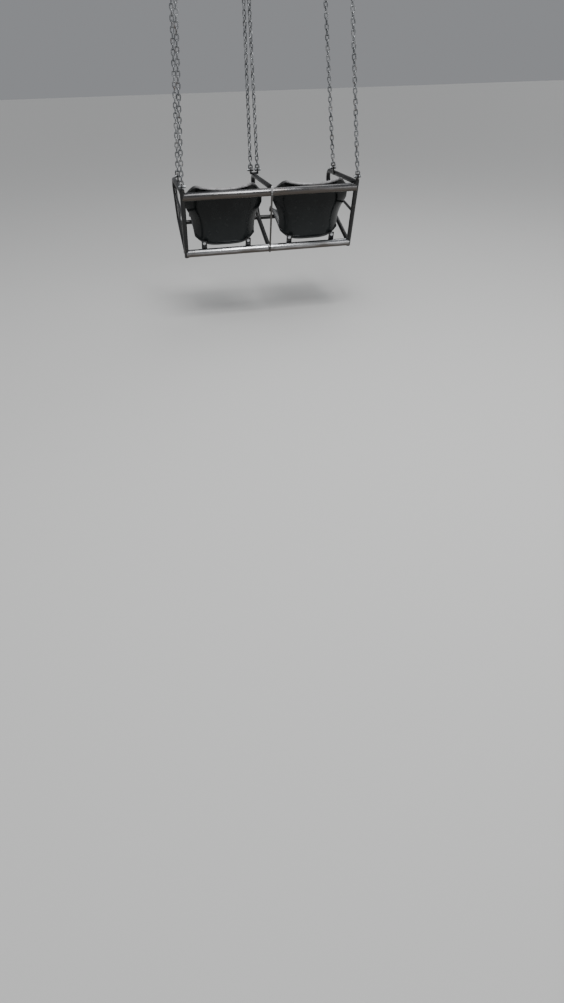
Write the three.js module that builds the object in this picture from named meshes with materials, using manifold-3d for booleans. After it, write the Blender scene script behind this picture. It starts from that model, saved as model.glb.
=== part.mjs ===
// Two-seat chair of a swing ride, hung on six chains from a pivoting spreader. Millimetres, +Z up.
// The origin is the middle of the bracket's top face, which bolts under the tip of a sweep arm.
// +Y is the way the riders face and +X is their right, the side that swings outwards.

import * as THREE from "three";
import { mergeVertices } from "three/addons/utils/BufferGeometryUtils.js";
import Module from "manifold-3d";

const wasm = await Module();
wasm.setup();

// Gap kept between pieces that touch, and how far a cutter runs past what it cuts
const SEAT_GAP = 0.3;
const CUTTER_OVERRUN = 5;

// How far into a tube the foot of a plate reaches, as a share of the tube's radius
const FOOT_DEPTH = 0.6;

// Back frame of the chair: two level rails, the lower one further forward because the back reclines, and
// a post at each end that passes through both rails and carries a chain above the upper one
const RAIL_RADIUS = 24;
const RAIL_SIDES = 20;
const BACK_DROP = 362;
const BACK_RUN = 132;
const POST_ABOVE_RAIL = 46;
const POST_LUG_DEPTH = 8;

// Side frames and middle frame: armrest, front post and lower bar, all of one size of tube
const SIDE_X = 558;
const TUBE_RADIUS = 15;
const ARMREST_RISE = 26;
const SIDE_ARMREST_START = -9;
const MIDDLE_ARMREST_START = 19;
const FRONT_TOP_Y = 700;
const FRONT_BOTTOM_Y = 545;
const LOWER_BAR_SLOPE = 0.35;
const BEND_RADIUS = 45;
const BEND_STEPS = 5;
const BEND_STUB = 2;
const TUBE_SIDES = 12;
const SMALL_BAR_SIDES = 8;
const SEAT_RAIL_Y = 500;
const SEAT_RAIL_RADIUS = 14;
const STRUT_Z = -155;
const STRUT_SLOPE = 0.15;
const STRUT_RADIUS = 8.5;

// Flat tie between the two rails at the middle of the back
const TIE_WIDTH = 12;
const TIE_THICKNESS = 6;
const TIE_ABOVE = 52;
const TIE_BELOW = 15;

// Moulded seat shells
const SHELL_X = 288;
const SHELL_THICKNESS = 6;
const SHELL_ABOVE_RAIL = 20;
const SHELL_LOW_Y = 200;
const SHELL_LOW_Z = -330;
const SHELL_CORNER_RADIUS = 65;
const SHELL_FRONT_Y = 515;
const SHELL_FRONT_RADIUS = 30;
const SHELL_FRONT_TURN = 1.05;
const SHELL_ACROSS = 12;
const SHELL_TOP_CORNER = 45;
const SHELL_CORNER_FROM = 0.78;
const SHELL_BACK_STEPS = 5;
const SHELL_CORNER_STEPS = 6;
const SHELL_PAN_STEPS = 4;
const SHELL_FRONT_STEPS = 3;
const SHELL_EDGE_POWER = 6;

// The shell's half width, the depth of its sides and the power of their curve, each from its top edge (0)
// to its front edge (1)
const SHELL_HALF_WIDTHS = [
  [0, 222], [0.055, 234], [0.11, 249], [0.165, 219], [0.22, 202], [0.4, 199], [1, 196],
];
const SHELL_SIDE_DEPTHS = [[0, 82], [0.2, 84], [0.45, 66], [0.6, 62], [0.85, 44], [1, 14]];
const SHELL_SIDE_POWERS = [[0, 2.2], [0.4, 4], [1, 3.5]];

// Brackets that carry the shells on the lower rail, two a seat
const TAB_SPREAD = 147;
const TAB_WIDTH = 36;
const TAB_THICKNESS = 6;
const TAB_TOP = 316;
const TAB_BOTTOM = 378;
const TAB_BOSS_RADIUS = 11;
const TAB_BOSS_DOWN = 330;
const TAB_BOSS_LENGTH = 19;
const TAB_BOSS_SIDES = 10;

// Chains, in front of and behind the riders, closer together at the top than at the chair. Those in front
// at the sides hang from the inner faces of the armrests, and the middle two hang further forward
const REAR_CHAIN_Y = -300;
const CHAIN_DEPTH = 500;
const MIDDLE_CHAIN_DEPTH = 620;
const CHAIN_DROP = 1200;
const CHAIN_TOP_X = 470;
const FRONT_CHAIN_X = 541;
const FRONT_CHAIN_TOP_X = 455;
const MIDDLE_CHAIN_X = 24;
const MIDDLE_CHAIN_TOP_X = 14.5;
const LINK_WIDTH = 28;
const LINK_WIRE = 8;

// Lugs and shackles
const LUG_PIN_RISE = 62;
const LUG_THICKNESS = 8;
const LUG_RADIUS = 17;
const LUG_HOLE_RADIUS = 6.6;
const LUG_CURVE_STEPS = 8;
const SHACKLE_WIRE_RADIUS = 5;
const SHACKLE_HALF_WIDTH = 12;
const SHACKLE_BOW_HEIGHT = 34;
const SHACKLE_PIN_RADIUS = 6;
const SHACKLE_EYE_RADIUS = 9;
const SHACKLE_PIN_PAST_LEG = 8;
const SHACKLE_CORNER_STEPS = 3;
const SHACKLE_WIRE_SIDES = 6;
const WIDE_SHACKLE_HALF_WIDTH = 24;
const WIDE_SHACKLE_CORNER = 9;
const WIDE_SHACKLE_LUG_X = 12;
const CROSS_PLATE_THICKNESS = 10;

// Spreader beam and its three arms
const BEAM_HEIGHT = 60;
const BEAM_DEPTH = 60;
const ARM_SECTION = 46;
const ARM_END = 26;
const UPPER_LUG_DROP = 50;

// Pivot and bracket
const PIVOT_DROP = 95;
const BEAM_BELOW_PIVOT = 92;
const PIN_RADIUS = 15;
const PIN_HALF_LENGTH = 72;
const HUB_RADIUS = 32;
const HUB_HALF_LENGTH = 32;
const HUB_BORE_RADIUS = 15.5;
const HUB_WEB = 16;
const EAR_INNER_Y = 38;
const EAR_THICKNESS = 14;
const EAR_RADIUS = 42;
const EAR_FLARE = 20;
const EAR_CURVE_STEPS = 12;
const PIN_SIDES = 20;
const PLATE_WIDTH = 200;
const PLATE_DEPTH = 190;
const PLATE_THICKNESS = 16;
const BOLT_HOLE_RADIUS = 9;
const BOLT_HOLE_SIDES = 16;
const BOLT_X = 78;
const BOLT_Y = 73;

// Levels and places that follow from the driving dimensions
const BEAM_Z = -PIVOT_DROP - BEAM_BELOW_PIVOT;
const UPPER_PIN_Z = BEAM_Z - UPPER_LUG_DROP;
const CHAIR_Z = UPPER_PIN_Z - CHAIN_DROP - LUG_PIN_RISE;
const BACK_LENGTH = Math.hypot(BACK_DROP, BACK_RUN);
const POST_PIN_UP = (LUG_PIN_RISE * BACK_LENGTH) / BACK_DROP;
const POST_PIN_Y = (-LUG_PIN_RISE * BACK_RUN) / BACK_DROP;
const CHAIR_Y = REAR_CHAIN_Y - POST_PIN_Y;
const SIDE_LUG_Y = CHAIN_DEPTH + POST_PIN_Y;
const MIDDLE_LUG_Y = MIDDLE_CHAIN_DEPTH + POST_PIN_Y;
const BACK_DOWN = new THREE.Vector3(0, BACK_RUN / BACK_LENGTH, -BACK_DROP / BACK_LENGTH);
const BACK_FORWARD = new THREE.Vector3(0, BACK_DROP / BACK_LENGTH, BACK_RUN / BACK_LENGTH);
const SEAT_RAIL_Z = lowerBarZ(SEAT_RAIL_Y);

const bareSteel = new THREE.MeshStandardMaterial({ color: 0xa8abae, roughness: 0.32, metalness: 1 });
const blackPaint = new THREE.MeshStandardMaterial({ color: 0x17181a, roughness: 0.5, metalness: 0.2 });
const shellPlastic = new THREE.MeshStandardMaterial({ color: 0x141617, roughness: 0.35, metalness: 0 });
const chainSteel = new THREE.MeshStandardMaterial({ color: 0x6f7478, roughness: 0.4, metalness: 1 });
const galvanised = new THREE.MeshStandardMaterial({ color: 0x8d9296, roughness: 0.5, metalness: 0.9 });

// The point where a line that rises forward from a start meets the line between two others
function whereSlopeMeets(start, slope, top, low) {
  const above = (point) => point.z - start.z - slope * (point.y - start.y);
  return top.clone().lerp(low, above(top) / (above(top) - above(low)));
}

function lowerBarZ(y) {
  return -BACK_DROP + LOWER_BAR_SLOPE * (y - BACK_RUN);
}

function piece(name, geometry, material) {
  const mesh = new THREE.Mesh(geometry, material);
  mesh.name = name;
  return mesh;
}

// Closed geometry to a solid that can be joined and cut, and back
function toSolid(geometry) {
  const plain = geometry.clone();
  plain.deleteAttribute("normal");
  plain.deleteAttribute("uv");
  const merged = mergeVertices(plain, 1e-3);
  const vertProperties = new Float32Array(merged.attributes.position.array);
  const triVerts = new Uint32Array(merged.index.array);
  return new wasm.Manifold(new wasm.Mesh({ numProp: 3, vertProperties, triVerts }));
}

function toGeometry(solid) {
  const mesh = solid.getMesh();
  const geometry = new THREE.BufferGeometry();
  geometry.setAttribute("position", new THREE.BufferAttribute(new Float32Array(mesh.vertProperties), 3));
  geometry.setIndex(new THREE.BufferAttribute(new Uint32Array(mesh.triVerts), 1));
  const faceted = geometry.toNonIndexed();
  faceted.computeVertexNormals();
  return faceted;
}

function cut(geometry, ...tools) {
  let solid = toSolid(geometry);
  for (const tool of tools) solid = solid.subtract(toSolid(tool));
  return toGeometry(solid);
}

function join(geometry, ...others) {
  let solid = toSolid(geometry);
  for (const other of others) solid = solid.add(toSolid(other));
  return toGeometry(solid);
}

// A path that an extrusion follows station by station, mitred where it turns
class StationPath extends THREE.Curve {
  constructor(stations) {
    super();
    this.stations = stations;
  }

  station(u) {
    return Math.round(u * (this.stations.length - 1));
  }

  getPointAt(u) {
    return this.stations[this.station(u)].clone();
  }

  getTangentAt(u) {
    const i = this.station(u);
    const last = this.stations.length - 1;
    const tangent = new THREE.Vector3();
    if (i > 0) tangent.add(direction(this.stations[i - 1], this.stations[i]));
    if (i < last) tangent.add(direction(this.stations[i], this.stations[i + 1]));
    return tangent.normalize();
  }
}

function direction(from, to) {
  return to.clone().sub(from).normalize();
}

function roundSection(radius, sides) {
  const points = [];
  for (let i = 0; i < sides; i++) {
    const angle = ((i + 0.5) * 2 * Math.PI) / sides;
    points.push(new THREE.Vector2(radius * Math.cos(angle), radius * Math.sin(angle)));
  }
  return new THREE.Shape(points);
}

// Flats on a many-sided bar lie inside its circle, so this radius puts them on it
function radiusOverFlats(radius, sides) {
  return radius / Math.cos(Math.PI / sides);
}

function alongStations(section, stations) {
  const extrudePath = new StationPath(stations);
  const options = { steps: stations.length - 1, bevelEnabled: false, extrudePath };
  return new THREE.ExtrudeGeometry(section, options);
}

function rod(from, to, radius, sides = TUBE_SIDES) {
  return alongStations(roundSection(radius, sides), [from, to]);
}

function crossTube(y, z, halfLength, radius, sides = RAIL_SIDES) {
  return rod(new THREE.Vector3(-halfLength, y, z), new THREE.Vector3(halfLength, y, z), radius, sides);
}

// Stations round a bend that joins two straight runs at a corner, with a short straight stub at each end
function bend(before, corner, after, radius, steps) {
  const incoming = direction(before, corner);
  const outgoing = direction(corner, after);
  const turn = incoming.angleTo(outgoing);
  const reach = radius * Math.tan(turn / 2);
  const start = corner.clone().addScaledVector(incoming, -reach);
  const axis = incoming.clone().cross(outgoing).normalize();
  const spoke = axis.clone().cross(incoming).multiplyScalar(-radius);
  const centre = start.clone().sub(spoke);
  const stations = [start.clone().addScaledVector(incoming, -BEND_STUB)];
  for (let i = 0; i <= steps; i++) {
    stations.push(centre.clone().add(spoke.clone().applyAxisAngle(axis, (turn * i) / steps)));
  }
  stations.push(stations.at(-1).clone().addScaledVector(outgoing, BEND_STUB));
  return stations;
}

// An upright plate with a round head about a hole, for a pin along X; the foot is level
function lug(x, y, pinZ, footZ) {
  const outline = new THREE.Shape();
  const rise = pinZ - footZ;
  const side = Math.sign(rise);
  outline.moveTo(-LUG_RADIUS, -rise);
  outline.lineTo(LUG_RADIUS, -rise);
  outline.lineTo(LUG_RADIUS, 0);
  outline.absarc(0, 0, LUG_RADIUS, 0, side * Math.PI, side < 0);
  const hole = new THREE.Path();
  hole.absarc(0, 0, LUG_HOLE_RADIUS, 0, 2 * Math.PI, side > 0);
  outline.holes.push(hole);
  const options = { depth: LUG_THICKNESS, bevelEnabled: false, curveSegments: LUG_CURVE_STEPS };
  const plate = new THREE.ExtrudeGeometry(outline, options);
  plate.translate(0, 0, -LUG_THICKNESS / 2);
  plate.rotateX(Math.PI / 2);
  plate.rotateZ(Math.PI / 2);
  plate.translate(x, y, pinZ);
  return plate;
}

// Shackle with its pin along X at the origin and its bow upwards. Where its corners are smaller than its
// half width, the bow is flat between them
function shackle(halfWidth, corner) {
  const left = [];
  for (let i = 0; i <= SHACKLE_CORNER_STEPS; i++) {
    const angle = (Math.PI / 2) * (i / SHACKLE_CORNER_STEPS);
    const across = halfWidth - corner + corner * Math.cos(angle);
    left.push(new THREE.Vector3(-across, 0, SHACKLE_BOW_HEIGHT - corner + corner * Math.sin(angle)));
  }
  left.unshift(new THREE.Vector3(-halfWidth, 0, 0));
  const right = left.map((point) => new THREE.Vector3(-point.x, 0, point.z)).reverse();
  if (halfWidth === corner) right.shift();
  const stations = [...left, ...right];
  const bow = alongStations(roundSection(SHACKLE_WIRE_RADIUS, SHACKLE_WIRE_SIDES), stations);
  const pin = crossTube(0, 0, halfWidth + SHACKLE_PIN_PAST_LEG, SHACKLE_PIN_RADIUS, SMALL_BAR_SIDES);
  const eye = crossTube(0, 0, SHACKLE_WIRE_RADIUS, SHACKLE_EYE_RADIUS, SMALL_BAR_SIDES);
  const eyes = [-halfWidth, halfWidth].map((x) => eye.clone().translate(x, 0, 0));
  return join(bow, pin, ...eyes);
}

// A chain is drawn as the space that its links fill: two flat bars crossed, from bow to bow
function chain(x, topX, y, turn) {
  const bowReach = SHACKLE_BOW_HEIGHT + SHACKLE_WIRE_RADIUS + SEAT_GAP;
  const lowPin = new THREE.Vector3(x, y, -CHAIN_DROP);
  const highPin = new THREE.Vector3(topX, y, 0);
  const foot = lowPin.clone().add(new THREE.Vector3(0, 0, bowReach));
  const head = highPin.clone().add(new THREE.Vector3(0, 0, -bowReach));
  const wide = LINK_WIDTH / 2;
  const thin = LINK_WIRE / 2;
  const corners = [];
  for (let quarter = 0; quarter < 4; quarter++) {
    for (const [u, v] of [[wide, -thin], [wide, thin], [thin, thin]]) {
      const angle = turn + (quarter * Math.PI) / 2;
      corners.push(new THREE.Vector2(u, v).rotateAround(new THREE.Vector2(), angle));
    }
  }
  return alongStations(new THREE.Shape(corners), [foot, head]);
}

// One frame's armrest, front post and lower bar, in the plane at x
function frameRoute(x, startY, bottomY, bottomZ) {
  const start = new THREE.Vector3(x, startY, ARMREST_RISE);
  const topCorner = new THREE.Vector3(x, FRONT_TOP_Y, ARMREST_RISE);
  const bottomCorner = new THREE.Vector3(x, bottomY, bottomZ);
  const end = new THREE.Vector3(x, BACK_RUN, -BACK_DROP);
  const topBend = bend(start, topCorner, bottomCorner, BEND_RADIUS, BEND_STEPS);
  const bottomBend = bend(topCorner, bottomCorner, end, BEND_RADIUS, BEND_STEPS);
  return { start, topBend, bottomBend, bottomCorner, end };
}

// The two rails and the two rear posts with SEAT_GAP added all round, to cut the tubes welded to them
const railClearRadius = radiusOverFlats(RAIL_RADIUS + SEAT_GAP, RAIL_SIDES);
const topRailClear = crossTube(0, 0, SIDE_X + TUBE_RADIUS + CUTTER_OVERRUN, railClearRadius);
const bottomRailClear = topRailClear.clone().translate(0, BACK_RUN, -BACK_DROP);
const rightPostClear = backPost(TUBE_RADIUS + SEAT_GAP, CUTTER_OVERRUN).translate(SIDE_X, 0, 0);
const leftPostClear = rightPostClear.clone().translate(-2 * SIDE_X, 0, 0);

// A bar on the line of the back, from above the upper rail to the underside of the lower one
function backPost(radius, overrun = 0) {
  const top = BACK_DOWN.clone().multiplyScalar(-POST_ABOVE_RAIL - overrun);
  const foot = BACK_DOWN.clone().multiplyScalar(BACK_LENGTH + RAIL_RADIUS + overrun);
  return rod(top, foot, radius);
}

function buildRearPost() {
  const plate = lug(0, 0, 0, POST_ABOVE_RAIL - POST_PIN_UP - POST_LUG_DEPTH);
  plate.rotateX(Math.atan2(BACK_RUN, BACK_DROP));
  plate.translate(0, POST_PIN_Y, LUG_PIN_RISE);
  return join(backPost(TUBE_RADIUS), plate);
}

function rail(y, z) {
  const tube = crossTube(y, z, SIDE_X, radiusOverFlats(RAIL_RADIUS, RAIL_SIDES));
  return cut(tube, leftPostClear, rightPostClear);
}

function tabCentres() {
  const centres = [];
  for (const side of [-1, 1]) {
    for (const inner of [-1, 1]) centres.push(side * SHELL_X + inner * TAB_SPREAD);
  }
  return centres;
}

function buildBottomRail() {
  const tabs = [];
  for (const x of tabCentres()) {
    const tab = new THREE.BoxGeometry(TAB_WIDTH, TAB_THICKNESS, TAB_BOTTOM - TAB_TOP);
    tab.rotateX(Math.atan2(BACK_RUN, BACK_DROP));
    const middle = BACK_DOWN.clone().multiplyScalar((TAB_TOP + TAB_BOTTOM) / 2);
    middle.addScaledVector(BACK_FORWARD, RAIL_RADIUS - TAB_THICKNESS / 2);
    const boss = BACK_DOWN.clone().multiplyScalar(TAB_BOSS_DOWN).setX(x);
    const from = boss.clone().addScaledVector(BACK_FORWARD, RAIL_RADIUS - TAB_THICKNESS);
    const to = boss.clone().addScaledVector(BACK_FORWARD, RAIL_RADIUS + TAB_BOSS_LENGTH);
    tabs.push(tab.translate(x, middle.y, middle.z), rod(from, to, TAB_BOSS_RADIUS, TAB_BOSS_SIDES));
  }
  return join(rail(BACK_RUN, -BACK_DROP), ...tabs);
}

function buildArmrest(x, route) {
  const tube = alongStations(roundSection(TUBE_RADIUS, TUBE_SIDES), [route.start, ...route.topBend]);
  const seated = cut(tube, topRailClear, rightPostClear);
  const foot = ARMREST_RISE + TUBE_RADIUS * FOOT_DEPTH;
  if (x !== 0) {
    const besideTube = ARMREST_RISE - TUBE_RADIUS * FOOT_DEPTH;
    return join(seated, lug(Math.sign(x) * FRONT_CHAIN_X, SIDE_LUG_Y, LUG_PIN_RISE, besideTube));
  }
  const crossWidth = 2 * MIDDLE_CHAIN_X + LUG_THICKNESS;
  const cross = new THREE.BoxGeometry(crossWidth, 2 * LUG_RADIUS, CROSS_PLATE_THICKNESS);
  cross.translate(0, MIDDLE_LUG_Y, foot + CROSS_PLATE_THICKNESS / 2);
  const lugs = [-MIDDLE_CHAIN_X, MIDDLE_CHAIN_X].map((lugX) => lug(lugX, MIDDLE_LUG_Y, LUG_PIN_RISE, foot));
  return join(seated, cross, ...lugs);
}

function buildFrontPost(route, ...tools) {
  const top = route.topBend.at(-1);
  const low = route.bottomBend[0];
  const along = direction(top, low);
  const from = top.clone().addScaledVector(along, SEAT_GAP);
  const to = low.clone().addScaledVector(along, -SEAT_GAP);
  const tube = alongStations(roundSection(TUBE_RADIUS, TUBE_SIDES), [from, to]);
  return tools.length ? cut(tube, ...tools) : tube;
}

function buildLowerBar(route) {
  const tube = alongStations(roundSection(TUBE_RADIUS, TUBE_SIDES), [...route.bottomBend, route.end]);
  return cut(tube, bottomRailClear);
}

// The line that the shell's back and underside follow at its middle, with the side towards the rider
function shellLine() {
  const back = BACK_FORWARD.clone().multiplyScalar(RAIL_RADIUS + SEAT_GAP);
  const toRail = new THREE.Vector2(SEAT_RAIL_Y - SHELL_LOW_Y, SEAT_RAIL_Z - SHELL_LOW_Z);
  const panAngle = toRail.angle() + Math.asin((SEAT_RAIL_RADIUS + SEAT_GAP) / toRail.length());
  const panForward = new THREE.Vector3(0, Math.cos(panAngle), Math.sin(panAngle));
  const panStart = new THREE.Vector3(0, SHELL_LOW_Y, SHELL_LOW_Z);
  const across = panForward.y * BACK_DOWN.z - panForward.z * BACK_DOWN.y;
  const offset = panStart.clone().sub(back);
  const down = (panForward.y * offset.z - panForward.z * offset.y) / across;
  const corner = back.clone().addScaledVector(BACK_DOWN, down);
  const top = back.clone().addScaledVector(BACK_DOWN, -SHELL_ABOVE_RAIL);
  const front = corner.clone().addScaledVector(panForward, (SHELL_FRONT_Y - corner.y) / panForward.y);
  const cornerBend = bend(top, corner, front, SHELL_CORNER_RADIUS, SHELL_CORNER_STEPS);
  const frontBend = [];
  const panUp = new THREE.Vector3(0, -panForward.z, panForward.y);
  for (let i = 1; i <= SHELL_FRONT_STEPS; i++) {
    const angle = (SHELL_FRONT_TURN * i) / SHELL_FRONT_STEPS;
    const point = front.clone();
    point.addScaledVector(panForward, SHELL_FRONT_RADIUS * Math.sin(angle));
    point.addScaledVector(panUp, -SHELL_FRONT_RADIUS * (1 - Math.cos(angle)));
    frontBend.push(point);
  }
  const stations = [];
  for (let i = 0; i < SHELL_BACK_STEPS; i++) {
    stations.push(top.clone().lerp(cornerBend[0], i / SHELL_BACK_STEPS));
  }
  stations.push(...cornerBend);
  for (let i = 1; i <= SHELL_PAN_STEPS; i++) {
    stations.push(cornerBend.at(-1).clone().lerp(front, i / SHELL_PAN_STEPS));
  }
  stations.push(...frontBend);
  return stations;
}

function between(pairs, t) {
  const next = pairs.findIndex(([at]) => at >= t);
  if (next <= 0) return pairs[0][1];
  const [fromT, from] = pairs[next - 1];
  const [toT, to] = pairs[next];
  return from + ((to - from) * (t - fromT)) / (toT - fromT);
}

function shellPoint(stations, i, u, thickness) {
  const last = stations.length - 1;
  const path = new StationPath(stations);
  const along = path.getTangentAt(i / last);
  const inwards = new THREE.Vector3(0, -along.z, along.y);
  const t = i / last;
  const side = between(SHELL_SIDE_DEPTHS, t) * Math.abs(u) ** between(SHELL_SIDE_POWERS, t);
  const rounding = Math.max(0, (Math.abs(u) - SHELL_CORNER_FROM) / (1 - SHELL_CORNER_FROM));
  const lowered = i === 0 ? SHELL_TOP_CORNER * (1 - Math.cos(rounding * Math.PI / 2)) : 0;
  const point = stations[i].clone();
  point.addScaledVector(inwards, side + thickness);
  point.addScaledVector(along, lowered);
  const edgeInset = (thickness / 2) * Math.abs(u) ** SHELL_EDGE_POWER;
  point.x = u * (between(SHELL_HALF_WIDTHS, t) - edgeInset);
  return point;
}

function buildShell() {
  const stations = shellLine();
  const rows = stations.length;
  const columns = SHELL_ACROSS + 1;
  const positions = [];
  for (const thickness of [0, SHELL_THICKNESS]) {
    for (let i = 0; i < rows; i++) {
      for (let j = 0; j < columns; j++) {
        const u = (2 * j) / SHELL_ACROSS - 1;
        positions.push(...shellPoint(stations, i, u, thickness).toArray());
      }
    }
  }
  const layer = rows * columns;
  const index = [];
  const quad = (a, b, c, d) => index.push(a, b, c, a, c, d);
  const at = (i, j, inner) => inner * layer + i * columns + j;
  for (let i = 0; i < rows - 1; i++) {
    for (let j = 0; j < columns - 1; j++) {
      quad(at(i, j, 0), at(i + 1, j, 0), at(i + 1, j + 1, 0), at(i, j + 1, 0));
      quad(at(i, j, 1), at(i, j + 1, 1), at(i + 1, j + 1, 1), at(i + 1, j, 1));
    }
    quad(at(i, 0, 1), at(i + 1, 0, 1), at(i + 1, 0, 0), at(i, 0, 0));
    const edge = columns - 1;
    quad(at(i, edge, 0), at(i + 1, edge, 0), at(i + 1, edge, 1), at(i, edge, 1));
  }
  for (let j = 0; j < columns - 1; j++) {
    quad(at(0, j, 0), at(0, j + 1, 0), at(0, j + 1, 1), at(0, j, 1));
    quad(at(rows - 1, j, 1), at(rows - 1, j + 1, 1), at(rows - 1, j + 1, 0), at(rows - 1, j, 0));
  }
  const geometry = new THREE.BufferGeometry();
  geometry.setAttribute("position", new THREE.Float32BufferAttribute(positions, 3));
  geometry.setIndex(index);
  geometry.computeVertexNormals();
  return geometry;
}

function buildTie() {
  const length = TIE_ABOVE + BACK_LENGTH + TIE_BELOW;
  const tie = new THREE.BoxGeometry(TIE_WIDTH, TIE_THICKNESS, length);
  tie.rotateX(Math.atan2(BACK_RUN, BACK_DROP));
  const middle = BACK_DOWN.clone().multiplyScalar((BACK_LENGTH + TIE_BELOW - TIE_ABOVE) / 2);
  middle.addScaledVector(BACK_FORWARD, -(RAIL_RADIUS + SEAT_GAP + TIE_THICKNESS / 2));
  tie.translate(0, middle.y, middle.z);
  return tie;
}

function buildChair() {
  const chair = new THREE.Group();
  chair.add(piece("top_rail", rail(0, 0), bareSteel));
  chair.add(piece("bottom_rail", buildBottomRail(), bareSteel));
  chair.add(piece("middle_tie", buildTie(), bareSteel));

  const sideRoute = frameRoute(SIDE_X, SIDE_ARMREST_START, FRONT_BOTTOM_Y, lowerBarZ(FRONT_BOTTOM_Y));
  const sideBar = buildLowerBar(sideRoute);
  const barClear = rod(sideRoute.end, sideRoute.bottomBend.at(-1), TUBE_RADIUS + SEAT_GAP);
  const rearPost = buildRearPost();
  const frontPost = buildFrontPost(sideRoute);
  const postTop = sideRoute.topBend.at(-1);
  const postLow = sideRoute.bottomBend[0];
  const frontClear = rod(postTop, postLow, TUBE_RADIUS + SEAT_GAP);
  const strutStart = new THREE.Vector3(SIDE_X, (-STRUT_Z * BACK_RUN) / BACK_DROP, STRUT_Z);
  const strutEnd = whereSlopeMeets(strutStart, STRUT_SLOPE, postTop, postLow);
  const strut = cut(rod(strutStart, strutEnd, STRUT_RADIUS, SMALL_BAR_SIDES), rightPostClear, frontClear);
  const armrest = buildArmrest(SIDE_X, sideRoute);
  for (const [side, shift] of [["left", -2 * SIDE_X], ["right", 0]]) {
    const post = piece(`rear_post_${side}`, rearPost, blackPaint);
    post.position.x = side === "left" ? -SIDE_X : SIDE_X;
    chair.add(post);
    const others = { armrest, front_post: frontPost, lower_bar: sideBar, side_strut: strut };
    for (const [name, geometry] of Object.entries(others)) {
      const tube = piece(`${name}_${side}`, geometry, blackPaint);
      tube.position.x = shift;
      chair.add(tube);
    }
  }

  const seatRailTube = crossTube(SEAT_RAIL_Y, SEAT_RAIL_Z, SIDE_X, SEAT_RAIL_RADIUS, TUBE_SIDES);
  const leftBarClear = barClear.clone().translate(-2 * SIDE_X, 0, 0);
  chair.add(piece("seat_rail", cut(seatRailTube, barClear, leftBarClear), blackPaint));

  const clearHalf = TUBE_RADIUS + CUTTER_OVERRUN;
  const clearRadius = SEAT_RAIL_RADIUS + SEAT_GAP;
  const seatRailClear = crossTube(SEAT_RAIL_Y, SEAT_RAIL_Z, clearHalf, clearRadius, TUBE_SIDES);
  const middleRoute = frameRoute(0, MIDDLE_ARMREST_START, SEAT_RAIL_Y, SEAT_RAIL_Z);
  middleRoute.bottomBend = [middleRoute.bottomCorner];
  chair.add(piece("armrest_middle", buildArmrest(0, middleRoute), blackPaint));
  chair.add(piece("front_post_middle", buildFrontPost(middleRoute, seatRailClear), blackPaint));
  const middleBar = rod(middleRoute.end, middleRoute.bottomCorner, TUBE_RADIUS);
  const middlePostClear = rod(middleRoute.topBend.at(-1), middleRoute.bottomCorner, TUBE_RADIUS + SEAT_GAP);
  const seatedBar = cut(middleBar, bottomRailClear, seatRailClear, middlePostClear);
  chair.add(piece("lower_bar_middle", seatedBar, blackPaint));

  const shell = buildShell();
  for (const [side, x] of [["left", -SHELL_X], ["right", SHELL_X]]) {
    const seat = piece(`seat_shell_${side}`, shell, shellPlastic);
    seat.position.x = x;
    chair.add(seat);
  }
  chair.position.set(0, CHAIR_Y, CHAIR_Z);
  return chair;
}

// Chains with a shackle at each end; the lower shackles stand on the chair and the upper ones hang. The two
// middle chains are turned an eighth, to lie side by side, and share one wide shackle at the top
function buildChains() {
  const chains = new THREE.Group();
  const shackleShape = shackle(SHACKLE_HALF_WIDTH, SHACKLE_HALF_WIDTH);
  const wideShape = shackle(WIDE_SHACKLE_HALF_WIDTH, WIDE_SHACKLE_CORNER);
  const places = [
    ["rear_left", -SIDE_X, -CHAIN_TOP_X, 0, 0],
    ["rear_right", SIDE_X, CHAIN_TOP_X, 0, 0],
    ["front_left", -FRONT_CHAIN_X, -FRONT_CHAIN_TOP_X, CHAIN_DEPTH, 0],
    ["front_right", FRONT_CHAIN_X, FRONT_CHAIN_TOP_X, CHAIN_DEPTH, 0],
    ["middle_left", -MIDDLE_CHAIN_X, -MIDDLE_CHAIN_TOP_X, MIDDLE_CHAIN_DEPTH, Math.PI / 4],
    ["middle_right", MIDDLE_CHAIN_X, MIDDLE_CHAIN_TOP_X, MIDDLE_CHAIN_DEPTH, Math.PI / 4],
  ];
  const hang = (name, shape, x, y) => {
    const upper = piece(`upper_shackle_${name}`, shape, chainSteel);
    upper.position.set(x, y, 0);
    upper.rotation.y = Math.PI;
    chains.add(upper);
  };
  for (const [name, x, topX, y, turn] of places) {
    chains.add(piece(`chain_${name}`, chain(x, topX, y, turn), chainSteel));
    const lower = piece(`lower_shackle_${name}`, shackleShape, chainSteel);
    lower.position.set(x, y, -CHAIN_DROP);
    chains.add(lower);
    if (turn === 0) hang(name, shackleShape, topX, y);
  }
  hang("middle", wideShape, 0, MIDDLE_CHAIN_DEPTH);
  chains.position.set(0, REAR_CHAIN_Y, UPPER_PIN_Z);
  return chains;
}

function box(width, depth, height, x, y, z) {
  return new THREE.BoxGeometry(width, depth, height).translate(x, y, z);
}

function pinAlongY(radius, halfLength, z) {
  return rod(new THREE.Vector3(0, -halfLength, z), new THREE.Vector3(0, halfLength, z), radius, PIN_SIDES);
}

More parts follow.
